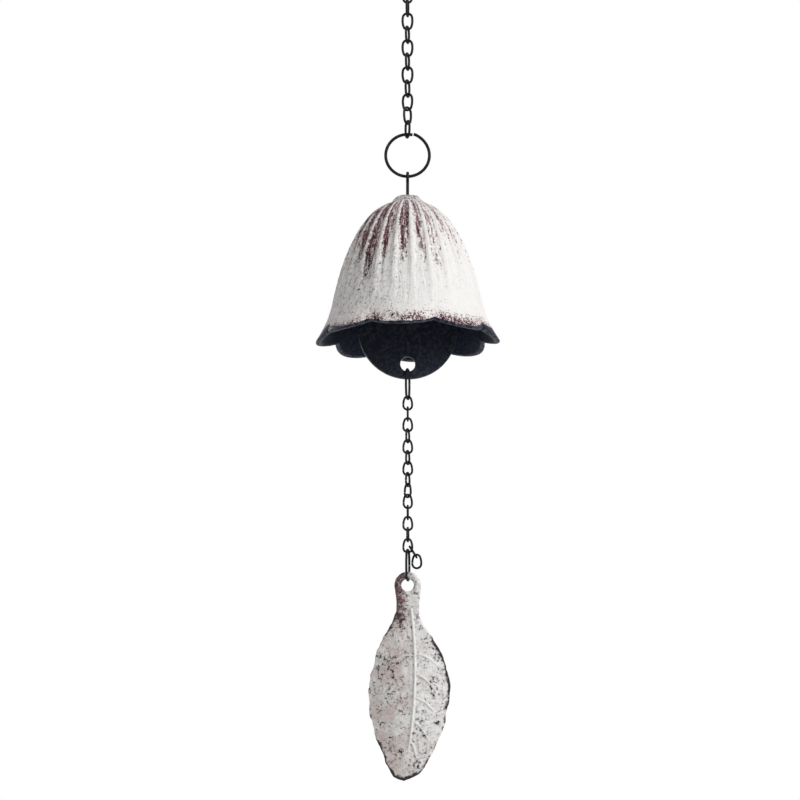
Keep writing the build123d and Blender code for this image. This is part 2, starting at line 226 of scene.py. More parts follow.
def bent_wire_tree():
    """Geometry Nodes: a round wire swept along the path of the object's own edges."""
    inputs = {"Geometry": "Geometry", "Wire": "Float", "Sides": "Int", "Material": "Material"}
    tree, given = new_tree("bent_wire", "GeometryNodeTree", inputs, {"Geometry": "Geometry"})
    path = add(tree, "GeometryNodeMeshToCurve", {0: given["Geometry"]})
    circle = {"Resolution": given["Sides"], "Radius": times(tree, given["Wire"], 0.5)}
    section = add(tree, "GeometryNodeCurvePrimitiveCircle", circle)
    swept = {"Curve": path.outputs[0], "Profile Curve": section.outputs[0], "Fill Caps": True}
    tube = add(tree, "GeometryNodeCurveToMesh", swept)
    finish_tree(tree, tube.outputs[0], given["Material"])
    return tree


def placed(name, data):
    """New object in the scene."""
    thing = bpy.data.objects.new(name, data)
    bpy.context.scene.collection.objects.link(thing)
    return thing


def plain_mesh(blank, name):
    """Mesh of an object with its modifiers taken in. The object itself goes."""
    evaluated = blank.evaluated_get(bpy.context.evaluated_depsgraph_get())
    mesh = bpy.data.meshes.new_from_object(evaluated)
    mesh.name = name
    blank.modifiers.clear()
    bpy.data.objects.remove(blank)
    return mesh


def grown(name, start, tree, sizes, sharp):
    """Plain mesh object that a Geometry Nodes tree grows from a start mesh."""
    seed = placed(name + "_seed", start)
    modifier = seed.modifiers.new("grow", "NODES")
    modifier.node_group = tree
    for item in tree.interface.items_tree:
        if item.in_out == "INPUT" and item.name in sizes:
            modifier[item.identifier] = sizes[item.name]
    mesh = plain_mesh(seed, name)
    mesh.set_sharp_from_angle(angle=math.radians(sharp))
    return placed(name, mesh)


def polyline(name, points, closed=False):
    """Mesh of edges through points."""
    edges = [(n, n + 1) for n in range(len(points) - 1)]
    if closed:
        edges.append((len(points) - 1, 0))
    mesh = bpy.data.meshes.new(name + "_path")
    mesh.from_pydata(points, edges, [])
    return mesh


def arc(centre, radius, start, sweep):
    """Points of an arc in the plane of a bent wire."""
    steps = max(2, math.ceil(abs(sweep) / ARC_STEP))
    turns = [math.radians(start + sweep * n / steps) for n in range(steps + 1)]
    return [(centre[0] + radius * math.cos(turn), centre[1] + radius * math.sin(turn)) for turn in turns]


def joined(*stretches):
    """One path from stretches that each start where the last one ends."""
    path = list(stretches[0])
    for stretch in stretches[1:]:
        path += stretch[1:]
    return path


def upright(path, turn, height):
    """Path of a bent wire stood upright, turned about the vertical and raised to its place."""
    side = Vector((math.cos(math.radians(turn)), math.sin(math.radians(turn)), 0))
    return [side * x + Vector((0, 0, z + height)) for x, z in path]


bent_wire = bent_wire_tree()
black_wire = black_iron("blackened_wire", **BLACKENED_WIRE)


def stands_for(piece, node):
    """Let a piece stand for a node and move with the body of the same name."""
    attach(piece, node)
    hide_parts(node)


def wire_piece(node, points, wire):
    """Bent wire that stands for a node."""
    sizes = {"Wire": wire, "Sides": WIRE_SIDES, "Material": black_wire}
    piece = grown("bent_" + node, polyline(node, points), bent_wire, sizes, WIRE_SHARP)
    stands_for(piece, node)


ring_radius = (RING_OUTER - RING_WIRE) / 2
half_seam = math.degrees(RING_SEAM / 2 / ring_radius)
first_end = RING_SEAM_ANGLE + half_seam
lift_start = RING_SEAM_ANGLE - RING_LIFT_TURN
wide_radius = ring_radius + RING_LIFT
lift_angle = math.radians(lift_start)
wide_centre = (-RING_LIFT * math.cos(lift_angle), -RING_LIFT * math.sin(lift_angle))
wide_sweep = (RING_LIFT_TURN - half_seam) * ring_radius / wide_radius
ring_path = joined(
    arc((0, 0), ring_radius, first_end, lift_start + 360 - first_end),
    arc(wide_centre, wide_radius, lift_start, wide_sweep),
)
for node in ("hanging_ring", "bell_ring"):
    ring_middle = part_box(node)[0].z + RING_OUTER / 2
    wire_piece(node, upright(ring_path, 0, ring_middle), RING_WIRE)

# Chain above the bell. Its egg shaped links are bent from blackened wire, wide end up, each hung in
# the one above and turned about a quarter against it, with the butted ends on one side.
LINK_SEAM = 0.15 * MM
UPPER_WIRE = 0.95 * MM
UPPER_WIDE_RADIUS = 1.8 * MM
UPPER_NARROW_RADIUS = 1.6 * MM
UPPER_SIDE_RADIUS = 8.0 * MM
UPPER_LINKS = 12


def link_path(length, wide, narrow, side):
    """Path of four tangent arcs about a link's middle, wide end up, open at a seam on the right."""
    wide_z = length / 2 - wide
    narrow_z = narrow - length / 2
    wide_reach = side - wide
    narrow_reach = side - narrow
    side_z = (wide_z**2 - narrow_z**2 - wide_reach**2 + narrow_reach**2) / (2 * (wide_z - narrow_z))
    side_x = math.sqrt(wide_reach**2 - (side_z - wide_z) ** 2)
    high = math.degrees(math.atan2(wide_z - side_z, side_x))
    low = math.degrees(math.atan2(narrow_z - side_z, side_x))
    half_gap = math.degrees(LINK_SEAM / 2 / side)
    return joined(
        arc((-side_x, side_z), side, half_gap, high - half_gap),
        arc((0, wide_z), wide, high, 180 - 2 * high),
        arc((side_x, side_z), side, 180 - high, high - low),
        arc((0, narrow_z), narrow, 180 - low, 180 + 2 * low),
        arc((-side_x, side_z), side, low, -low - half_gap),
    )


def link_turn(node):
    """Turn of a link about the vertical, from the axis of the joint that hangs on it."""
    axis = next(joint["axis"] for joint in frame["joints"] if joint["parent"] == node)
    turn = math.degrees(math.atan2(axis[1], axis[0]))
    return (turn + 90) % 180 - 90


def link_place(node, wire):
    """Length of a link's wire path and height of its middle."""
    low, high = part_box(node)
    return high.z - low.z - wire, (high.z + low.z) / 2


for number in range(1, UPPER_LINKS + 1):
    node = f"upper_link_{number:02d}"
    length, middle = link_place(node, UPPER_WIRE)
    path = link_path(length, UPPER_WIDE_RADIUS, UPPER_NARROW_RADIUS, UPPER_SIDE_RADIUS)
    wire_piece(node, upright(path, link_turn(node), middle), UPPER_WIRE)

# Hanger. A heavier blackened wire with an eye bent at each end: the top eye hangs on the bell ring,
# the shank passes the bore in the crown, and the wider eye inside carries the bell.
EYE_BEND = 1.3 * MM
EYE_OPENING = 60.0
HANGER_WIRE = 1.2 * MM
HANGER_TOP_EYE = 1.7 * MM
HANGER_INNER_EYE = 2.6 * MM
HANGER_TURN = 0.0
HANGER_TWIST = 90.0


def eye_path(eye, shank_end):
    """Path from the end of a straight shank down to its eye, about the middle of the eye."""
    lean = math.acos(EYE_BEND / (EYE_BEND + eye))
    neck = (EYE_BEND + eye) * math.sin(lean)
    lean = math.degrees(lean)
    bend = arc((EYE_BEND, neck), EYE_BEND, 180, lean)
    loop = arc((0, 0), eye, lean, EYE_OPENING - 360)
    return joined([(0, shank_end), (0, neck)], bend, loop)


def two_eyed_path(node, wire, top_eye, low_eye, turn, twist):
    """Path of a straight wire with an eye at each end, the top eye turned by twist."""
    low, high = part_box(node)
    low_z = low.z + low_eye + wire / 2
    top_z = high.z - top_eye - wire / 2
    half_span = (top_z - low_z) / 2
    low_half = upright(eye_path(low_eye, half_span), turn, low_z)
    top_half = [(-x, -z) for x, z in eye_path(top_eye, half_span)]
    return low_half[::-1] + upright(top_half, turn + twist, top_z)[1:]


hanger_eyes = (HANGER_TOP_EYE, HANGER_INNER_EYE)
hanger_path = two_eyed_path("hanger_wire", HANGER_WIRE, *hanger_eyes, HANGER_TURN, HANGER_TWIST)
wire_piece("hanger_wire", hanger_path, HANGER_WIRE)

# Bell. Cast iron in the form of a flower with eight flared lobes and three ribs to a lobe. White
# paint is rubbed over dark red primer, worn through in the grooves, and lip and inside are black.
BELL_HEIGHT = 57.2 * MM
BODY_RADIUS = 30.5 * MM
DOME_HEIGHT = 55.1 * MM
DOME_POWER = 1.44
DOME_ROOT = 0.383
MOUTH_RADIUS = 35.3 * MM
CUSP_RADIUS = 31.7 * MM
CUSP_RISE = 2.6 * MM
CUSP_FADE = 13.0 * MM
FLARE_HEIGHT = 15.0 * MM
BELL_WALL = 2.2 * MM
LIP_ROUND = 0.8 * MM
BELL_LOBES = 8
BELL_RIBS = 24
RIB_HEIGHT = 1.25 * MM
RIB_FADE = (5.0 * MM, 40.0 * MM)
RIB_LEAST = 0.05
RIB_PROFILE = (0.04, 0.27)
RIB_WANDER = 0.05
RIB_WANDER_NOISE = (70.0 * MM, 2.0)
BELL_TURN = -4.0
BOSS_RADIUS = 6.7 * MM
BOSS_TOP_RADIUS = 4.6 * MM
BOSS_ROUND = 0.8 * MM
CROWN_THICKNESS = 5.0 * MM
CROWN_BORE = 2.4 * MM
CAST_UNEVEN = 0.22 * MM
CAST_NOISE = (130.0 * MM, 3.0)
RIB_UNEVEN = 0.5 * MM
BOSS_UNEVEN = 1.3 * MM
KNOB_NOISE = (330.0 * MM, 3.0)
BELL_AROUND = 432
BELL_SHARP = 80.0
BORE_ROWS = 6
BOSS_TOP_ROWS = 8
BOSS_TURNS = (20, 40, 60)
BOSS_SIDE_ROWS = 7
BOSS_BLEND_ROWS = 12
BELL_ROWS = 110
LIP_ROWS = 5
LIP_OUTSIDE_ROWS = 4
INSIDE_ROWS = 50
CEILING_ROWS = 7


def dome_radius(height, foot_radius, top_height):
    """Radius of the dome, without its flare, at a height above the mouth."""
    return foot_radius * (1 - (height / top_height) ** DOME_POWER) ** DOME_ROOT


def straight(start, end, steps):
    """Points of a straight run, without its start."""
    run, rise = end[0] - start[0], end[1] - start[1]
    return [(start[0] + run * n / steps, start[1] + rise * n / steps) for n in range(1, steps + 1)]


def bell_half_section():
    """Closed half section from the bore over the crown, down outside, round the lip and up inside."""
    shoulder = DOME_HEIGHT * (1 - (BOSS_RADIUS / BODY_RADIUS) ** (1 / DOME_ROOT)) ** (1 / DOME_POWER)
    ceiling = BELL_HEIGHT - CROWN_THICKNESS
    bore = CROWN_BORE / 2
    top_flat = BOSS_TOP_RADIUS - BOSS_ROUND
    rows = [(bore, ceiling)]
    rows += straight(rows[-1], (bore, BELL_HEIGHT), BORE_ROWS)
    rows += straight(rows[-1], (top_flat, BELL_HEIGHT), BOSS_TOP_ROWS)
    for turn in map(math.radians, BOSS_TURNS):
        drop = BOSS_ROUND * (1 - math.cos(turn))
        rows.append((top_flat + BOSS_ROUND * math.sin(turn), BELL_HEIGHT - drop))
    rows += straight(rows[-1], (BOSS_RADIUS, shoulder), BOSS_SIDE_ROWS)
    for n in range(1, BELL_ROWS):
        height = LIP_ROUND + (shoulder - LIP_ROUND) * (1 + math.cos(math.pi * n / BELL_ROWS)) / 2
        rows.append((dome_radius(height, BODY_RADIUS, DOME_HEIGHT), height))
    outer_lip = BODY_RADIUS - LIP_ROUND
    inner_lip = BODY_RADIUS - BELL_WALL + LIP_ROUND
    for centre, first in ((outer_lip, 0), (inner_lip, -90)):
        for n in range(LIP_ROWS + 1):
            turn = math.radians(first - 90 * n / LIP_ROWS)
            rows.append((centre + LIP_ROUND * math.cos(turn), LIP_ROUND + LIP_ROUND * math.sin(turn)))
    inside_foot = BODY_RADIUS - BELL_WALL
    inside_top = DOME_HEIGHT - BELL_WALL
    for n in range(1, INSIDE_ROWS + 1):
        height = LIP_ROUND + (ceiling - LIP_ROUND) * math.sin(math.pi * n / (2 * INSIDE_ROWS))
        rows.append((dome_radius(height, inside_foot, inside_top), height))
    return rows + straight(rows[-1], (bore, ceiling), CEILING_ROWS)[:-1]


def flower_bell_tree():
    """Geometry Nodes: a half section turned about the axis, then flared, scalloped and ribbed by rule."""
    counts = dict.fromkeys(("Around", "Lobes", "Ribs"), "Int")
    lengths = ("Body Radius", "Mouth Radius", "Cusp Radius", "Cusp Rise", "Flare Height", "Rib Height")
    sizes = dict.fromkeys((*lengths, "Turn", "Mouth Z"), "Float")
    inputs = {"Geometry": "Geometry", **counts, **sizes, "Material": "Material"}
    tree, given = new_tree("flower_bell", "GeometryNodeTree", inputs, {"Geometry": "Geometry"})

    def attribute(name):
        """Value that the half section keeps for each of its points."""
        node = add(tree, "GeometryNodeInputNamedAttribute", {"Name": name}, data_type="FLOAT")
        return node.outputs["Attribute"]

    def around(distance, turn, up):
        """Point at a distance from the axis, at a turn about it and at a height."""
        x = times(tree, distance, calc(tree, "COSINE", turn))
        y = times(tree, distance, calc(tree, "SINE", turn))
        return add(tree, "ShaderNodeCombineXYZ", {0: x, 1: y, 2: up}).outputs[0]

    # The turned body
    section = add(tree, "GeometryNodeMeshToCurve", {0: given["Geometry"]})
    circle = add(tree, "GeometryNodeCurvePrimitiveCircle", {"Resolution": given["Around"], "Radius": 1.0})
    swept = {"Curve": circle.outputs[0], "Profile Curve": section.outputs[0]}
    turned = add(tree, "GeometryNodeCurveToMesh", swept)
    place = add(tree, "GeometryNodeInputPosition").outputs[0]
    split = add(tree, "ShaderNodeSeparateXYZ", {0: place}).outputs
    angle = calc(tree, "ARCTAN2", split[1], split[0])
    radius = attribute("radius_out")
    height = attribute("height_up")
    outside = attribute("outside")
    on_dome = attribute("on_dome")
    in_mm = {0: place, "Scale": 1 / MM}
    noise_place = add(tree, "ShaderNodeVectorMath", in_mm, operation="SCALE").outputs[0]

    # Angle from the middle of a lobe, and the lobe's own arc through cusp, tip and cusp
    lobe_step = calc(tree, "DIVIDE", 2 * math.pi, given["Lobes"])
    half_lobe = times(tree, lobe_step, 0.5)
    from_cusp = plus(tree, angle, math.pi / 2, half_lobe)
    in_lobe = minus(tree, calc(tree, "FRACT", calc(tree, "DIVIDE", from_cusp, lobe_step)), 0.5)
    lobe_angle = times(tree, in_lobe, lobe_step)
    tip = given["Mouth Radius"]
    cusp = given["Cusp Radius"]
    squares = minus(tree, times(tree, tip, tip), times(tree, cusp, cusp))
    chord = minus(tree, tip, times(tree, cusp, calc(tree, "COSINE", half_lobe)))
    centre = calc(tree, "DIVIDE", squares, times(tree, chord, 2.0))
    across = times(tree, centre, calc(tree, "SINE", lobe_angle))
    lobe_round = minus(tree, tip, centre)
    squares = minus(tree, times(tree, lobe_round, lobe_round), times(tree, across, across))
    ahead = times(tree, centre, calc(tree, "COSINE", lobe_angle))
    reach = plus(tree, ahead, calc(tree, "SQRT", squares))
    lobe_reach = minus(tree, reach, given["Body Radius"])

    # The lip rises towards each cusp, and the flare follows the raised height
    rise_share = calc(tree, "POWER", calc(tree, "ABSOLUTE", times(tree, in_lobe, 2.0)), 2.0)
    near_lip = ramp(tree, height, 0.0, CUSP_FADE, 1.0, 0.0)
    raised = plus(tree, height, times(tree, rise_share, near_lip, given["Cusp Rise"]))
    to_lip = minus(tree, 1.0, calc(tree, "DIVIDE", raised, given["Flare Height"]))
    flare = calc(tree, "POWER", calc(tree, "MAXIMUM", to_lip, 0.0), 2.0)
    flared = plus(tree, radius, times(tree, flare, lobe_reach))

    # Rounded ribs that wander a little and fade out towards the mouth
    wander = minus(tree, noise(tree, noise_place, *RIB_WANDER_NOISE), 0.5)
    rib_turns = times(tree, calc(tree, "DIVIDE", from_cusp, 2 * math.pi), given["Ribs"])
    rib_turns = times_plus(tree, wander, RIB_WANDER, rib_turns)
    in_rib = calc(tree, "FRACT", plus(tree, rib_turns, 0.5))
    off_crest = calc(tree, "ABSOLUTE", minus(tree, in_rib, 0.5))
    groove = times(tree, ramp(tree, off_crest, *RIB_PROFILE), outside)
    strength = ramp(tree, height, *RIB_FADE, RIB_LEAST, 1.0)
    narrowing = calc(tree, "DIVIDE", radius, given["Body Radius"])
    depth = times(tree, strength, narrowing, given["Rib Height"], groove, on_dome)

    # Uneven as cast all over, and knobbly on the ribs and the side of the boss
    lumps = minus(tree, noise(tree, noise_place, *CAST_NOISE), 0.5)
    knobs = minus(tree, noise(tree, noise_place, *KNOB_NOISE), 0.5)
    on_boss = times(tree, minus(tree, 1.0, on_dome), attribute("boss_side"))
    on_ribs = times(tree, strength, on_dome, outside)
    uneven = times(tree, lumps, outside, CAST_UNEVEN)
    uneven = times_plus(tree, times(tree, knobs, on_boss), BOSS_UNEVEN, uneven)
    uneven = times_plus(tree, times(tree, knobs, on_ribs), RIB_UNEVEN, uneven)
    final_radius = plus(tree, minus(tree, flared, depth), uneven)

    # Keep what the paint needs to know, place every point and finish
    kept_values = (
        ("groove", "FLOAT", times(tree, groove, on_dome)),
        ("above_lip", "FLOAT", height),
        ("rib_place", "FLOAT_VECTOR", around(given["Body Radius"], angle, attribute("along"))),
    )
    geometry = turned.outputs[0]
    for name, kind, value in kept_values:
        store = {0: geometry, "Name": name, "Value": value}
        storing = add(tree, "GeometryNodeStoreNamedAttribute", store, data_type=kind, domain="POINT")
        geometry = storing.outputs[0]
    final_angle = plus(tree, angle, given["Turn"])
    target = around(final_radius, final_angle, plus(tree, raised, given["Mouth Z"]))
    moved = add(tree, "GeometryNodeSetPosition", {0: geometry, "Position": target})
    finish_tree(tree, moved.outputs[0], given["Material"])
    return tree


# Paint of the bell. Heights above the lip and places across the front are in millimetres. A ramp is
# its start and end, and then what it gives there if that is not 0 and 1.
PAINT_WHITE = (0.86, 0.845, 0.83, 1)
# The grey of the brush marks, partly the paint's own grey and partly painted shade of pits.
PAINT_GREY_AND_SHADE = (0.40, 0.385, 0.385, 1)
PAINT_THIN = (0.50, 0.345, 0.365, 1)
PAINT_DUSTY = (0.47, 0.43, 0.425, 1)
PRIMER = (0.20, 0.090, 0.108, 1)
PRIMER_DARK = (0.040, 0.018, 0.022, 1)
IRON_BLACK = (0.0035, 0.005, 0.016, 1)
IRON_GREY = (0.020, 0.026, 0.048, 1)
# Painted highlight: the lighter grey of the lip's lower edge, where its round catches the light.
IRON_LIP_HIGHLIGHT = (0.075, 0.085, 0.105, 1)
DOT_NOISE = (1.5, 3.0, 0.6)
STREAK_NOISE = (1.3, 4.0, 0.65)
STREAK_SHARE = 0.6
SOFT_NOISE = (0.9, 2.0)
WORN_EDGE = (0.975, 1.04)
THINNED_EDGE = (0.88, 1.02)
DOTTED_EDGE = (0.95, 1.01)
PINKED_EDGE = (0.78, 1.1)
DEEP_NOISE = (1.1, 3.0)
DEEP_EDGE = (0.38, 0.58)
STREAK_STRETCH = 0.26
WEAR_STRETCH = 0.03
WEAR_SHIFT = 140.0
WEAR_NOISE = (0.14, 2.0)
WEAR_FOOT = (0.36, 0.62, 45.0, 24.0)
WEAR_FADE = (-9.0, 9.0)
FRONT_OFFSET = 4.0
FRONT_FOOT = (8.0, 24.0, -4.0, 6.0)
GROOVE_EDGE = (0.0, 0.8)
GROOVE_WEAR = 0.17
CLUMP_STRETCH = 0.2
CLUMP_NOISE = (0.45, 2.0)
CLUMP_SHARE = (0.36, 0.60, 0.45, 1.0)
RUB_WEAR = (6.0, 36.0, 0.365, 0.375)
RUB_SIDE_WEAR = (-18.0, 20.0, 0.03, -0.06)
BRUSH_STRETCH = 0.14
BRUSH_NOISE = (1.5, 4.0, 0.7)
BRUSH_EDGE = (0.48, 0.72)
# Painted shade: the grey marks are greyest on the left, away from the key lamp.
BRUSH_SHADE_SIDE_SHARE = (-24.0, 22.0, 0.9, 0.2)
BRUSH_SHARE = (3.0, 24.0, 0.4, 1.0)
PATCH_NOISE = (0.13, 2.0)
PATCH_SHARE = (0.36, 0.60, 0.7, 1.0)
LIP_SPECKLE = (0.5, 9.0, 0.56, 0.24)
BOSS_SPECKLE = (53.0, 55.0, 0.0, 0.16)
RED_LIP_HEIGHT = (6.0, 12.0, 1.0, 0.0)
RED_CROWN_HEIGHT = (24.0, 38.0)
LIP_DEPTH = (22.0, 34.0, 0.9, 4.2)
LIP_NOISE = (0.7, 4.0, 0.6)
LIP_RAGGED = 2.4
LIP_FADE = (-0.25, 0.25)
IRON_NOISE = (0.8, 3.0)
IRON_EDGE = (0.35, 0.75)
# Where the painted highlight of the lip's lower edge lies: its height band, then its ragged end.
LIP_HIGHLIGHT_HEIGHT = (0.25, 0.75, 1.0, 0.0)
LIP_HIGHLIGHT_EDGE = (-0.12, 0.1)
BELL_ROUGHNESS = (0.0, 1.0, 0.45, 0.75)
BELL_SPECULAR = 0.08
BELL_SKIN = (0.8, 1.6)
PAINT_RELIEF = 0.7
BRUSH_RELIEF = -1.6
BELL_BUMP = (0.8, 0.3 * MM)


def worn_paint():
    """Group: white paint over primer. Wear bares streaks of the primer and Speckle bares dots of it."""
    colours = dict.fromkeys(("Paint", "Thin", "Under", "Deep"), "Color")
    inputs = {"Place": "Vector", "Streaks": "Vector", **colours, "Wear": "Float", "Speckle": "Float"}
    outputs = {"Color": "Color", "Bare": "Float"}
    group, given = new_tree("worn_paint", "ShaderNodeTree", inputs, outputs)
    dots = noise(group, given["Place"], *DOT_NOISE)
    streaks = noise(group, given["Streaks"], *STREAK_NOISE)
    grainy = times_plus(group, dots, 1 - STREAK_SHARE, times(group, streaks, STREAK_SHARE))
    worn = ramp(group, plus(group, grainy, given["Wear"]), *WORN_EDGE)
    soft = noise(group, given["Place"], *SOFT_NOISE)
    soft = times_plus(group, soft, 1 - STREAK_SHARE, times(group, grainy, STREAK_SHARE))
    thinned = ramp(group, plus(group, soft, given["Wear"]), *THINNED_EDGE)
    speckled = plus(group, dots, given["Speckle"])
    dotted = ramp(group, speckled, *DOTTED_EDGE)
    pinked = ramp(group, speckled, *PINKED_EDGE)
    bare = calc(group, "MAXIMUM", worn, dotted)
    paint = mix(group, calc(group, "MAXIMUM", thinned, pinked), given["Paint"], given["Thin"])
    deep = ramp(group, noise(group, given["Streaks"], *DEEP_NOISE), *DEEP_EDGE)
    under = mix(group, deep, given["Under"], given["Deep"])
    add(group, "NodeGroupOutput", {"Color": mix(group, bare, paint, under), "Bare": bare})
    return group


paint_group = worn_paint()


def attribute_value(tree, name):
    """Value that a mesh keeps for each of its points."""
    return add(tree, "ShaderNodeAttribute", attribute_name=name).outputs["Fac"]


def rib_place(tree, stretch, shift=0.0):
    """Place on the bell in millimetres round it and down along its ribs, the latter shortened."""
    given = add(tree, "ShaderNodeAttribute", attribute_name="rib_place").outputs["Vector"]
    moved = {"Vector": given, "Scale": (1 / MM, 1 / MM, stretch / MM), "Location": (0, 0, shift)}
    return add(tree, "ShaderNodeMapping", moved).outputs[0]


def bell_paint():
    """White rubbed over dark red outside, with a black lip and inside."""
    material, tree, shader = new_material("bell_paint")
    place = place_in_mm(tree)
    outside = attribute_value(tree, "outside")
    height = calc(tree, "DIVIDE", attribute_value(tree, "above_lip"), MM)
    across = add(tree, "ShaderNodeSeparateXYZ", {0: place}).outputs[0]

    # Grooves worn from the crown down, each to its own depth, and rubbing all over
    round_noise = noise(tree, rib_place(tree, WEAR_STRETCH, WEAR_SHIFT), *WEAR_NOISE)
    off_front = calc(tree, "ABSOLUTE", plus(tree, across, FRONT_OFFSET))
    foot = ramp(tree, round_noise, *WEAR_FOOT)
    foot = plus(tree, foot, ramp(tree, off_front, *FRONT_FOOT))
    worn_down = ramp(tree, minus(tree, height, foot), *WEAR_FADE)
    groove = ramp(tree, attribute_value(tree, "groove"), *GROOVE_EDGE)
    clumps = noise(tree, rib_place(tree, CLUMP_STRETCH), *CLUMP_NOISE)
    clumps = ramp(tree, clumps, *CLUMP_SHARE)
    rubbed = ramp(tree, height, *RUB_WEAR)
    rubbed = plus(tree, rubbed, ramp(tree, across, *RUB_SIDE_WEAR))
    wear = times_plus(tree, times(tree, groove, worn_down, clumps), GROOVE_WEAR, rubbed)

    # Grey streaks, partly brush grain and partly painted shade of the pits, more higher up and most on
    # the left
    brush_marks = noise(tree, rib_place(tree, BRUSH_STRETCH), *BRUSH_NOISE)
    grey_marks_and_shade = ramp(tree, brush_marks, *BRUSH_EDGE)
    # Painted shade: greyest on the left, the side away from the key lamp
    grey_marks_and_shade = times(tree, grey_marks_and_shade, ramp(tree, across, *BRUSH_SHADE_SIDE_SHARE))
    grey_marks_and_shade = times(tree, grey_marks_and_shade, ramp(tree, height, *BRUSH_SHARE))

    # Primer speckles that show through in patches just above the lip, and on the boss
    patches = ramp(tree, noise(tree, place, *PATCH_NOISE), *PATCH_SHARE)
    speckle = times(tree, ramp(tree, height, *LIP_SPECKLE), patches)
    speckle = plus(tree, speckle, ramp(tree, height, *BOSS_SPECKLE))
    red_lip = ramp(tree, height, *RED_LIP_HEIGHT)
    reddish = calc(tree, "MAXIMUM", red_lip, ramp(tree, height, *RED_CROWN_HEIGHT))
    layers = {
        "Place": place, "Streaks": rib_place(tree, STREAK_STRETCH),
        "Paint": mix(tree, grey_marks_and_shade, PAINT_WHITE, PAINT_GREY_AND_SHADE),
        "Thin": mix(tree, reddish, PAINT_DUSTY, PAINT_THIN),
        "Under": mix(tree, reddish, PRIMER_DARK, PRIMER), "Deep": PRIMER_DARK,
        "Wear": wear, "Speckle": speckle,
    }
    painted = add(tree, "ShaderNodeGroup", layers, node_tree=paint_group).outputs

    # Black lip with a ragged upper edge, deeper on the lobes at the sides, and black inside
    lip = ramp(tree, calc(tree, "ABSOLUTE", across), *LIP_DEPTH)
    ragged = minus(tree, noise(tree, place, *LIP_NOISE), 0.5)
    over_lip = minus(tree, times_plus(tree, ragged, LIP_RAGGED, height), lip)
    painted_part = times(tree, ramp(tree, over_lip, *LIP_FADE), outside)
    iron = mix(tree, ramp(tree, noise(tree, place, *IRON_NOISE), *IRON_EDGE), IRON_BLACK, IRON_GREY)
    # Painted highlight: a lighter grey line along the lower edge of the lip, where its round catches the
    # light.
    highlight_near_lip = ramp(tree, height, *LIP_HIGHLIGHT_HEIGHT)
    lip_highlight = times(tree, highlight_near_lip, ramp(tree, ragged, *LIP_HIGHLIGHT_EDGE))
    iron = mix(tree, lip_highlight, iron, IRON_LIP_HIGHLIGHT)
    color = mix(tree, painted_part, iron, painted["Color"])
    paint_share = times(tree, painted_part, minus(tree, 1.0, painted["Bare"]))
    gloss = ramp(tree, paint_share, *BELL_ROUGHNESS)
    relief = uneven_skin(tree, place, *BELL_SKIN)
    relief = times_plus(tree, paint_share, PAINT_RELIEF, relief)
    relief = times_plus(tree, brush_marks, BRUSH_RELIEF, relief)
    finish_surface(tree, shader, color, gloss, BELL_SPECULAR, relief, BELL_BUMP)
    return material


half_section = bell_half_section()
section_mesh = polyline("bell_section", [(radius, 0, height) for radius, height in half_section], True)
section_rows = range(len(half_section))
side_start = BORE_ROWS + BOSS_TOP_ROWS
dome_start = side_start + 1 + len(BOSS_TURNS) + BOSS_SIDE_ROWS
outside_end = dome_start + BELL_ROWS - 1 + LIP_OUTSIDE_ROWS
row_steps = [math.dist(*pair) for pair in itertools.pairwise(half_section)]
section_values = {
    "radius_out": [radius for radius, height in half_section],
    "height_up": [height for radius, height in half_section],
    "outside": [float(n < outside_end) for n in section_rows],
    "on_dome": [min(max((n - dome_start) / BOSS_BLEND_ROWS, 0.0), 1.0) for n in section_rows],
    "boss_side": [float(side_start <= n < outside_end) for n in section_rows],
    "along": list(itertools.accumulate(row_steps, initial=0.0)),
}
for name, values in section_values.items():
    section_mesh.attributes.new(name, "FLOAT", "POINT").data.foreach_set("value", values)
bell_sizes = {
    "Around": BELL_AROUND, "Lobes": BELL_LOBES, "Ribs": BELL_RIBS, "Body Radius": BODY_RADIUS,
    "Mouth Radius": MOUTH_RADIUS, "Cusp Radius": CUSP_RADIUS, "Cusp Rise": CUSP_RISE,
    "Flare Height": FLARE_HEIGHT, "Rib Height": RIB_HEIGHT, "Turn": math.radians(BELL_TURN),
    "Mouth Z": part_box("bell")[0].z, "Material": bell_paint(),
}
bell = grown("bell_casting", section_mesh, flower_bell_tree(), bell_sizes, BELL_SHARP)
stands_for(bell, "bell")

# Clapper wire. A thinner blackened wire inside the bell, from the hanger's eye down to the clapper,
# with both its eyes square to the disc.
CLAPPER_WIRE = 1.0 * MM
CLAPPER_WIRE_TOP_EYE = 2.1 * MM
CLAPPER_WIRE_LOW_EYE = 3.0 * MM
CLAPPER_TURN = 5.0
clapper_wire_eyes = (CLAPPER_WIRE_TOP_EYE, CLAPPER_WIRE_LOW_EYE)
clapper_wire_path = two_eyed_path("clapper_wire", CLAPPER_WIRE, *clapper_wire_eyes, 90 + CLAPPER_TURN, 0)
wire_piece("clapper_wire", clapper_wire_path, CLAPPER_WIRE)

# Clapper. A flat iron disc punched with a hole above and below, painted black and dusted grey. It
# hangs on the eye of its wire and strikes the bell from inside. Its solid already has the right form.
CLAPPER_BLACK = {
    "black": (0.0085, 0.011, 0.021, 1), "grey": (0.036, 0.042, 0.057, 1),
    "rub_noise": (0.7, 5.0, 0.65), "rub_edge": (0.40, 0.70),
    "gloss_noise": (0.4, 3.0), "roughness": (0.3, 0.7, 0.42, 0.6), "specular": 0.14,
    "skin": (0.7, 0.5), "bump": (0.4, 0.2 * MM),
}
clapper_materials = frame["nodes"]["clapper"].data.materials
clapper_materials.clear()
clapper_materials.append(black_iron("clapper_black", **CLAPPER_BLACK))

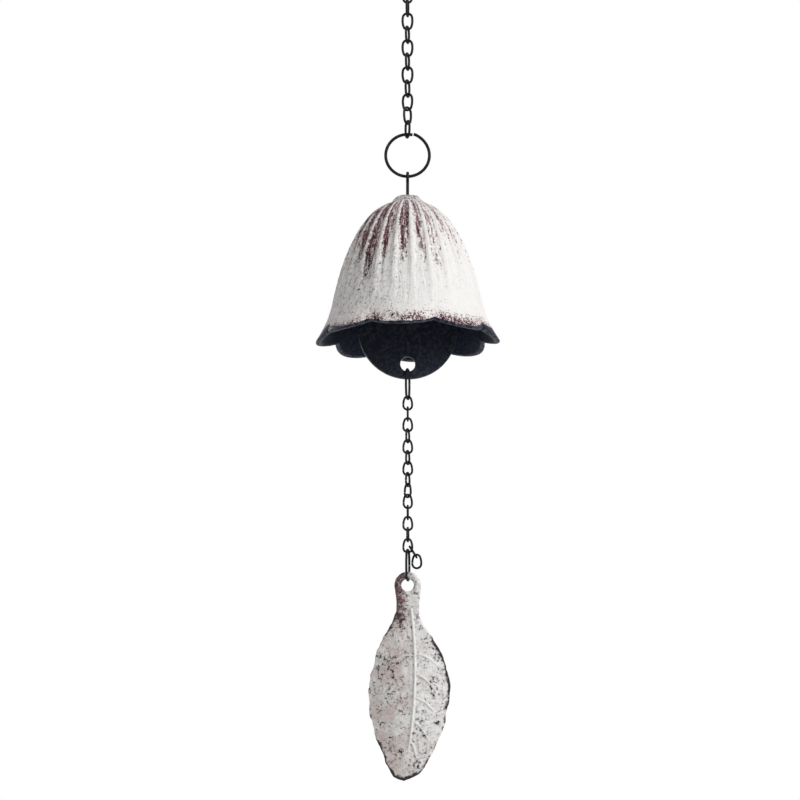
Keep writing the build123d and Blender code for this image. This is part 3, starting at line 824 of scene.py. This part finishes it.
# Chain below the clapper: a long link in its lower hole, small egg shaped links with the narrow end
# up, a long link that carries the leaf, and two left over links that dangle beside it.
LONG_WIRE = 0.9 * MM
LONG_END_RADIUS = 2.1 * MM
LONG_SIDE_RADIUS = 24.0 * MM
LEAF_LINK_TURN = 76.0
LOWER_WIRE = 0.82 * MM
LOWER_WIDE_RADIUS = 1.65 * MM
LOWER_NARROW_RADIUS = 1.3 * MM
LOWER_SIDE_RADIUS = 6.0 * MM
LOWER_LINKS = 14
SPARE_TURN = 87.0
SPARE_LEAN_RIGHT = 31.5
SPARE_LEAN_FRONT = 20.5

for node, turn in (("clapper_link", link_turn("clapper_link")), ("leaf_link", LEAF_LINK_TURN)):
    length, middle = link_place(node, LONG_WIRE)
    path = link_path(length, LONG_END_RADIUS, LONG_END_RADIUS, LONG_SIDE_RADIUS)
    wire_piece(node, upright(path, turn, middle), LONG_WIRE)
lower_length, middle = link_place("lower_link_01", LOWER_WIRE)
lower_path = link_path(lower_length, LOWER_WIDE_RADIUS, LOWER_NARROW_RADIUS, LOWER_SIDE_RADIUS)
lower_path = [(-x, -z) for x, z in lower_path]
for number in range(1, LOWER_LINKS + 1):
    node = f"lower_link_{number:02d}"
    length, middle = link_place(node, LOWER_WIRE)
    wire_piece(node, upright(lower_path, link_turn(node), middle), LOWER_WIRE)
spare_joint = next(joint for joint in frame["joints"] if joint["child"] == "spare_link_1")
spare_top = Vector(spare_joint["pos_m"])
spare_lean = Matrix.Rotation(math.radians(-SPARE_LEAN_RIGHT), 3, "Y")
spare_lean = spare_lean @ Matrix.Rotation(math.radians(-SPARE_LEAN_FRONT), 3, "X")
hung_path = upright(lower_path, SPARE_TURN, -lower_length / 2)
leaning_path = [spare_top + spare_lean @ point for point in hung_path]
wire_piece("spare_link_1", leaning_path, LOWER_WIRE)
low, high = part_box("spare_link_2")
spare_middle = (low + high) / 2
spare_aside = Vector((spare_middle.x, spare_middle.y, 0))
spare_path = [point + spare_aside for point in upright(lower_path, 0, spare_middle.z)]
wire_piece("spare_link_2", spare_path, LOWER_WIRE)

# Leaf. A flat iron casting with its eye, midrib and veins in one, rubbed with the same white paint
# over primer, which is worn through in pits, round the eye and along its uneven edge.
LEAF_LENGTH = 72.0 * MM
LEAF_LEFT_WIDTH = 14.4 * MM
LEAF_RIGHT_WIDTH = 15.5 * MM
LEAF_THICKNESS = 2.8 * MM
LEAF_EYE = 10.0 * MM
LEAF_EYE_TUBE = 2.7 * MM
LEAF_EYE_SIDES = 48
LEAF_TUBE_SIDES = 20
LEAF_TIP_OFFSET = 1.7 * MM
LEAF_LEFT_OUTLINE = (
    (0.29, 0.115), (0.42, 0.2), (0.66, 0.28), (0.87, 0.4),
    (1.0, 0.57), (0.88, 0.73), (0.66, 0.85), (0.42, 0.965),
)
LEAF_RIGHT_OUTLINE = (
    (0.27, 0.115), (0.36, 0.2), (0.6, 0.28), (0.86, 0.38),
    (1.0, 0.53), (0.86, 0.71), (0.66, 0.82), (0.33, 0.95),
)
LEAF_EDGE_STEPS = 24
LEAF_RAGGED = 0.5 * MM
RAGGED_COARSE = 5.0 * MM
RAGGED_FINE = 1.7 * MM
RAGGED_FINE_SHARE = 0.5
LEAF_BEND = 1.6 * MM
LEAF_BEND_SHARES = (0.7, 0.3)
LEAF_VOXEL = 0.25 * MM
LEAF_SMOOTHING = 4
LEAF_LUMPS = 0.16 * MM
LEAF_LUMP_SPAN = 4.5 * MM
LEAF_PITS = 0.12 * MM
LEAF_PIT_SPAN = 0.9 * MM
LEAF_PIT_CAP = 0.2
LEAF_RIM = 1.5 * MM
MIDRIB_BOW = 2.9 * MM
MIDRIB_LEAN = 1.4 * MM
MIDRIB_MIDDLE = 0.48
MIDRIB_SPAN = (0.13, 0.9)
MIDRIB_STEPS = 12
RIDGE_STEPS = 60
RIDGE_TAPER = 4
RIDGE_POWER = 1.5
MIDRIB_RIDGE = (0.6 * MM, 0.62 * MM)
VEIN_BOW = 0.9 * MM
RIGHT_VEIN_RIDGE = (0.42 * MM, 0.46 * MM)
LEFT_VEIN_RIDGE = (0.16 * MM, 0.5 * MM)
RIGHT_VEINS = (
    (0.355, 0.70, 0.412), (0.455, 0.665, 0.542), (0.575, 0.66, 0.657),
    (0.69, 0.515, 0.80), (0.795, 0.21, 0.885),
)
LEFT_VEINS = ((0.36, -0.38, 0.40), (0.48, -0.52, 0.56), (0.62, -0.46, 0.72))


def through(points, steps):
    """Smooth line through points."""
    ends = [points[0], *points, points[-1]]
    line = []
    for before, start, end, after in zip(ends, ends[1:], ends[2:], ends[3:]):
        leaving = start + (end - before) / 6
        arriving = end - (after - start) / 6
        line += interpolate_bezier(start, leaving, arriving, end, steps)[:-1]
    return line + [points[-1]]


def ragged_side(width, outline, tip):
    """One edge of the leaf from beside its eye down to its tip, uneven as sand cast."""
    head = Vector((math.copysign(LEAF_EYE / 2, width), 0, 0))
    shares = [Vector((width * across, 0, -LEAF_LENGTH * down)) for across, down in outline]
    line = through([head, *shares, tip], LEAF_EDGE_STEPS)
    for point in line[1:-1]:
        fade = min(-point.z / LEAF_EYE, 1.0)
        coarse = blender_noise.noise(point / RAGGED_COARSE)
        fine = blender_noise.noise(point / RAGGED_FINE)
        point.x += LEAF_RAGGED * fade * (coarse + RAGGED_FINE_SHARE * fine)
    return line


def leaf_edge():
    """Edge of the leaf from the left of its eye round the tip to the right of the eye."""
    tip = Vector((-LEAF_TIP_OFFSET, 0, -LEAF_LENGTH))
    left = ragged_side(-LEAF_LEFT_WIDTH, LEAF_LEFT_OUTLINE, tip)
    right = ragged_side(LEAF_RIGHT_WIDTH, LEAF_RIGHT_OUTLINE, tip)
    return left + right[-2::-1]


def leaf_blank(edge):
    """Slab in the outline of the leaf with the round of its eye, about the middle of the eye."""
    tube = LEAF_EYE_TUBE / 2
    ring = LEAF_EYE / 2 - tube
    half_turn = [math.pi * n / LEAF_EYE_SIDES for n in range(LEAF_EYE_SIDES + 1)]
    under_eye = [Vector((ring * math.cos(turn), 0, -ring * math.sin(turn))) for turn in half_turn]
    shape = bmesh.new()
    front = Vector((0, -LEAF_THICKNESS / 2, 0))
    corners = [shape.verts.new(point + front) for point in edge + under_eye]
    face = shape.faces.new(corners)
    extruded = bmesh.ops.extrude_face_region(shape, geom=[face])["geom"]
    back = [item for item in extruded if isinstance(item, bmesh.types.BMVert)]
    bmesh.ops.translate(shape, verts=back, vec=(0, LEAF_THICKNESS, 0))
    rounds = []
    for n in range(LEAF_EYE_SIDES):
        turn = 2 * math.pi * n / LEAF_EYE_SIDES
        out = Vector((math.cos(turn), 0, math.sin(turn)))
        lean = [2 * math.pi * m / LEAF_TUBE_SIDES for m in range(LEAF_TUBE_SIDES)]
        spots = [out * (ring + tube * math.cos(a)) + Vector((0, tube * math.sin(a), 0)) for a in lean]
        rounds.append([shape.verts.new(spot) for spot in spots])
    for n, this in enumerate(rounds):
        after = rounds[(n + 1) % LEAF_EYE_SIDES]
        for m in range(LEAF_TUBE_SIDES):
            k = (m + 1) % LEAF_TUBE_SIDES
            shape.faces.new((this[m], this[k], after[k], after[m]))
    bmesh.ops.recalc_face_normals(shape, faces=shape.faces)
    mesh = bpy.data.meshes.new("leaf_blank")
    shape.to_mesh(mesh)
    shape.free()
    return mesh


def on_midrib(down):
    """Point of the midrib at a share of the leaf's length."""
    bow = 1 - ((down - MIDRIB_MIDDLE) / MIDRIB_MIDDLE) ** 2
    return Vector((MIDRIB_BOW * bow - MIDRIB_LEAN * down**2, 0, -LEAF_LENGTH * down))


def leaf_ridges():
    """Points close together along the midrib and veins, each with its ridge's height and half width."""
    first, last = MIDRIB_SPAN
    shares = [first + (last - first) * n / MIDRIB_STEPS for n in range(MIDRIB_STEPS + 1)]
    ridges = [([on_midrib(share) for share in shares], MIDRIB_RIDGE)]
    for veins, ridge in ((RIGHT_VEINS, RIGHT_VEIN_RIDGE), (LEFT_VEINS, LEFT_VEIN_RIDGE)):
        for root, across, down in veins:
            start = on_midrib(root)
            end = Vector((across * LEAF_RIGHT_WIDTH, 0, -LEAF_LENGTH * down))
            ridges.append(([start, (start + end) / 2 + Vector((0, 0, VEIN_BOW)), end], ridge))
    spots = []
    for points, (height, half_width) in ridges:
        line = through(points, RIDGE_STEPS)
        for n, point in enumerate(line):
            taper = min(RIDGE_TAPER * (1 - n / len(line)), 1.0)
            spots.append((point, height * taper, half_width))
    return spots


def nearest_in(points):
    """Finder of the nearest of some points."""
    finder = KDTree(len(points))
    for n, point in enumerate(points):
        finder.insert(point, n)
    finder.balance()
    return finder


def cast_leaf(eye_place):
    """Leaf with ridges, bend and uneven skin, and with how far each point is a ridge or a rim."""
    edge = leaf_edge()
    blank = placed("leaf_blank", leaf_blank(edge))
    remesh = blank.modifiers.new("even_mesh", "REMESH")
    remesh.mode = "VOXEL"
    remesh.voxel_size = LEAF_VOXEL
    soften = blank.modifiers.new("soften", "SMOOTH")
    soften.iterations = LEAF_SMOOTHING
    mesh = plain_mesh(blank, "leaf_casting")
    spots = leaf_ridges()
    ridge_finder = nearest_in([point for point, height, half_width in spots])
    edge_finder = nearest_in(edge)
    bend_middle, bend_face = LEAF_BEND_SHARES
    rims, ridges = [], []
    normals = [vertex.normal.copy() for vertex in mesh.vertices]
    for vertex, normal in zip(mesh.vertices, normals):
        place = vertex.co.copy()
        on_face = (place.x, 0, place.z)
        index, distance = ridge_finder.find(on_face)[1:]
        height, half_width = spots[index][1:]
        profile = max(1 - (distance / half_width) ** 2, 0.0) ** RIDGE_POWER
        to_edge = edge_finder.find(on_face)[2]
        facing = max(-normal.y, 0.0)
        lumps = LEAF_LUMPS * blender_noise.noise(place / LEAF_LUMP_SPAN)
        pits = LEAF_PITS * min(blender_noise.noise(place / LEAF_PIT_SPAN), LEAF_PIT_CAP)
        bend = LEAF_BEND * (bend_middle - bend_face * normal.y) * (place.x / LEAF_RIGHT_WIDTH) ** 2
        vertex.co += normal * (lumps + pits)
        vertex.co.y += bend - height * profile * facing
        vertex.co += eye_place
        rims.append(max(1 - to_edge / LEAF_RIM, 0.0))
        ridges.append(profile * facing * height / MIDRIB_RIDGE[0])
    for name, values in (("rim", rims), ("ridge", ridges)):
        mesh.attributes.new(name, "FLOAT", "POINT").data.foreach_set("value", values)
    mesh.shade_smooth()
    return mesh


# Paint of the leaf. Places below the eye and across the front are in millimetres.
LEAF_WHITE = (0.57, 0.555, 0.545, 1)
LEAF_LIGHT = (0.84, 0.83, 0.82, 1)
LEAF_BLUSH = (0.53, 0.435, 0.415, 1)
LEAF_RIDGE_WHITE = (0.88, 0.87, 0.86, 1)
LEAF_THIN = (0.25, 0.20, 0.20, 1)
LEAF_DARK = (0.022, 0.016, 0.018, 1)
MOTTLE_NOISE = (0.55, 4.0, 0.65)
MOTTLE_SHARE = (0.36, 0.64, 0.0, 0.6)
# Painted shade: the leaf's paint greys towards the left and lightens towards the right.
PAINTED_SIDE_SHADE = (-12.0, 13.0, -0.2, 0.6)
BLUSH_NOISE = (0.12, 2.0)
BLUSH_EDGE = (0.42, 0.62)
BLUSH_SHARE = (-8.0, 6.0, 0.75, 0.1)
LEAF_WEAR = 0.29
LEAF_SIDE_WEAR = (-8.0, 5.0, -0.02, 0.025)
NECK_DOWN = (6.0, 24.0, 1.0, 0.0)
NECK_SIDE_SHARE = (-2.5, 3.0, 1.1, -0.4)
NECK_WEAR = 0.19
BRIGHT_NECK_DOWN = (15.0, 20.0, 1.0, 0.0)
BLOTCH_NOISE = (0.17, 3.0, 0.6)
BLOTCH_EDGE = (0.42, 0.66)
BLOTCH_WEAR = 0.08
BLOTCH_SPECKLE = 0.07
RIM_RIGHT_ACROSS = (1.0, 6.0)
RIM_UPPER_START = (17.0, 22.0)
RIM_UPPER_END = (38.0, 50.0, 1.0, 0.0)
RIM_LOWER_START = (54.0, 60.0)
RIM_NOISE = (0.22, 2.0)
RIM_WEAR = (0.36, 0.60, 0.02, 0.2)
RIM_MOST_WEAR = 0.26
RIDGE_WEAR = -0.12
RIDGE_SPECKLE = -0.2
LEAF_SPECKLE_NOISE = (0.3, 2.0)
LEAF_SPECKLE = (0.35, 0.65, 0.25, 0.36)
LEAF_DOT_STRETCH = (0.75, 0.75, 0.75)
LEAF_STREAK_STRETCH = (0.6, 0.8, 0.8)
LEAF_ROUGHNESS = (0.0, 1.0, 0.5, 0.78)
LEAF_SPECULAR = 0.25
LEAF_SKIN = (1.0, 1.4)
LEAF_RELIEF = 0.9
LEAF_BUMP = (0.8, 0.3 * MM)


def leaf_paint(eye_z):
    """Grey white paint full of pits, bare and dark round the eye and here and there on the rim."""
    material, tree, shader = new_material("leaf_paint")
    place = place_in_mm(tree)
    ridge = attribute_value(tree, "ridge")
    rim = attribute_value(tree, "rim")
    split = add(tree, "ShaderNodeSeparateXYZ", {0: place}).outputs
    across = split[0]
    below_eye = minus(tree, eye_z / MM, split[2])

    # Mottled paint, blushed by the primer on the left, and clean on the ridges
    mottle_and_side_shade = ramp(tree, noise(tree, place, *MOTTLE_NOISE), *MOTTLE_SHARE)
    # Painted shade and light: greyer towards the left, lighter towards the right, where the key lamp
    # stands
    mottle_and_side_shade = plus(tree, mottle_and_side_shade, ramp(tree, across, *PAINTED_SIDE_SHADE))
    blush = ramp(tree, noise(tree, place, *BLUSH_NOISE), *BLUSH_EDGE)
    blush = times(tree, blush, ramp(tree, across, *BLUSH_SHARE))
    paint = mix(tree, mottle_and_side_shade, LEAF_WHITE, LEAF_LIGHT)
    paint = mix(tree, blush, paint, LEAF_BLUSH)
    paint = mix(tree, ridge, paint, LEAF_RIDGE_WHITE)

    # Worn at the left of the eye and neck, in blotches, and more on the right of the blade
    near_eye = ramp(tree, below_eye, *NECK_DOWN)
    worn_neck = times(tree, near_eye, ramp(tree, across, *NECK_SIDE_SHARE))
    blotches = ramp(tree, noise(tree, place, *BLOTCH_NOISE), *BLOTCH_EDGE)
    wear = times_plus(tree, worn_neck, NECK_WEAR, LEAF_WEAR)
    wear = times_plus(tree, blotches, BLOTCH_WEAR, wear)
    wear = plus(tree, wear, ramp(tree, across, *LEAF_SIDE_WEAR))

    # Worn along the rim, most at the upper right and the lower left, and not beside the neck
    right = ramp(tree, across, *RIM_RIGHT_ACROSS)
    upper = times(tree, ramp(tree, below_eye, *RIM_UPPER_START), ramp(tree, below_eye, *RIM_UPPER_END))
    lower = ramp(tree, below_eye, *RIM_LOWER_START)
    most = plus(tree, times(tree, right, upper), times(tree, minus(tree, 1.0, right), lower))
    rim_wear = ramp(tree, noise(tree, place, *RIM_NOISE), *RIM_WEAR)
    rim_wear = times_plus(tree, most, RIM_MOST_WEAR, rim_wear)
    bright_neck = times(tree, right, ramp(tree, below_eye, *BRIGHT_NECK_DOWN))
    rim_wear = times(tree, rim_wear, minus(tree, 1.0, bright_neck))
    wear = times_plus(tree, rim, rim_wear, wear)
    wear = times_plus(tree, ridge, RIDGE_WEAR, wear)
    speckle = ramp(tree, noise(tree, place, *LEAF_SPECKLE_NOISE), *LEAF_SPECKLE)
    speckle = times_plus(tree, blotches, BLOTCH_SPECKLE, speckle)
    speckle = times_plus(tree, ridge, RIDGE_SPECKLE, speckle)
    layers = {
        "Place": place_in_mm(tree, LEAF_DOT_STRETCH), "Streaks": place_in_mm(tree, LEAF_STREAK_STRETCH),
        "Paint": paint, "Thin": LEAF_THIN, "Under": mix(tree, near_eye, LEAF_DARK, PRIMER),
        "Deep": LEAF_DARK, "Wear": wear, "Speckle": speckle,
    }
    painted = add(tree, "ShaderNodeGroup", layers, node_tree=paint_group).outputs
    paint_share = minus(tree, 1.0, painted["Bare"])
    gloss = ramp(tree, paint_share, *LEAF_ROUGHNESS)
    relief = uneven_skin(tree, place, *LEAF_SKIN)
    relief = times_plus(tree, paint_share, LEAF_RELIEF, relief)
    finish_surface(tree, shader, painted["Color"], gloss, LEAF_SPECULAR, relief, LEAF_BUMP)
    return material


leaf_eye_place = Vector((0, 0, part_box("leaf")[1].z - LEAF_EYE / 2))
leaf_mesh = cast_leaf(leaf_eye_place)
leaf_mesh.materials.append(leaf_paint(leaf_eye_place.z))
stands_for(placed("leaf_casting", leaf_mesh), "leaf")

# Studio. A pale floor under the hanging bell and a white backdrop. A large soft lamp stands at the right
# and front, a weak one at the left and one behind, each with its place and side in metres and its power
# in watts. The camera stands a little below the bell and looks up at it.
FLOOR_Z = -0.62
FLOOR_HALF = 60.0
FLOOR_COLOR = (0.82, 0.82, 0.81, 1)
FLOOR_ROUGHNESS = 0.9
FLOOR_GLOW = 0.6
WORLD_COLOR = (1, 1, 1, 1)
WORLD_LIGHT = 0.28
BACKDROP_LIGHT = 1.0
LAMPS = (
    ("key", (1.0, -0.62, 0.34), 0.5, 13.5),
    ("fill", (-0.6, -0.95, 0.45), 0.8, 3.6),
    ("back", (-0.1, 1.2, 0.25), 1.0, 6.0),
)
CAMERA_PLACE = (-0.0029, -0.9, -0.3594)
CAMERA_PITCH = 11.0
CAMERA_LENS = 109.5
CAMERA_SENSOR = 36.0


def seen_rays(tree):
    """One for rays that come from the camera or from gloss or glass, nought for the light on the bell."""
    rays = add(tree, "ShaderNodeLightPath").outputs
    seen = calc(tree, "MAXIMUM", rays["Is Camera Ray"], rays["Is Glossy Ray"])
    return calc(tree, "MAXIMUM", seen, rays["Is Transmission Ray"])


def pale_floor():
    """Pale floor that glows a little to the eye, and is clear when it is seen from below."""
    material, tree, shader = new_material("floor_pale")
    shader.inputs["Base Color"].default_value = FLOOR_COLOR
    shader.inputs["Roughness"].default_value = FLOOR_ROUGHNESS
    shader.inputs["Emission Color"].default_value = FLOOR_COLOR
    glow = times(tree, seen_rays(tree), FLOOR_GLOW)
    tree.links.new(glow, shader.inputs["Emission Strength"])
    from_below = add(tree, "ShaderNodeNewGeometry").outputs["Backfacing"]
    clear = add(tree, "ShaderNodeBsdfTransparent")
    one_sided = {0: from_below, 1: shader.outputs[0], 2: clear.outputs[0]}
    surface = add(tree, "ShaderNodeMixShader", one_sided)
    output = next(node for node in tree.nodes if node.type == "OUTPUT_MATERIAL")
    tree.links.new(surface.outputs[0], output.inputs["Surface"])
    return material


floor_mesh = bpy.data.meshes.new("floor")
floor_sides = ((-1, -1), (1, -1), (1, 1), (-1, 1))
floor_corners = [(x * FLOOR_HALF, y * FLOOR_HALF, FLOOR_Z) for x, y in floor_sides]
floor_mesh.from_pydata(floor_corners, [], [(0, 1, 2, 3)])
floor_mesh.materials.append(pale_floor())
placed("floor", floor_mesh)

world = bpy.data.worlds.new("studio")
bpy.context.scene.world = world
world.use_nodes = True
world_tree = world.node_tree
world_tree.nodes.clear()
soft_light = add(world_tree, "ShaderNodeBackground", {"Color": WORLD_COLOR, "Strength": WORLD_LIGHT})
backdrop = add(world_tree, "ShaderNodeBackground", {"Color": WORLD_COLOR, "Strength": BACKDROP_LIGHT})
either = {0: seen_rays(world_tree), 1: soft_light.outputs[0], 2: backdrop.outputs[0]}
shown = add(world_tree, "ShaderNodeMixShader", either)
add(world_tree, "ShaderNodeOutputWorld", {"Surface": shown.outputs[0]})

bell_mouth = Vector((0, 0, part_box("bell")[0].z))
for name, place, size, power in LAMPS:
    lamp_data = bpy.data.lights.new(name, "AREA")
    lamp_data.size = size
    lamp_data.energy = power
    lamp = placed(name, lamp_data)
    lamp.location = place
    lamp.rotation_euler = (bell_mouth - Vector(place)).to_track_quat("-Z", "Y").to_euler()

camera_data = bpy.data.cameras.new("camera")
camera_data.lens = CAMERA_LENS
camera_data.sensor_width = CAMERA_SENSOR
camera = placed("camera", camera_data)
camera.location = CAMERA_PLACE
camera.rotation_euler = (math.radians(90 + CAMERA_PITCH), 0, 0)
bpy.context.scene.camera = camera
bpy.context.scene.view_settings.view_transform = "Standard"
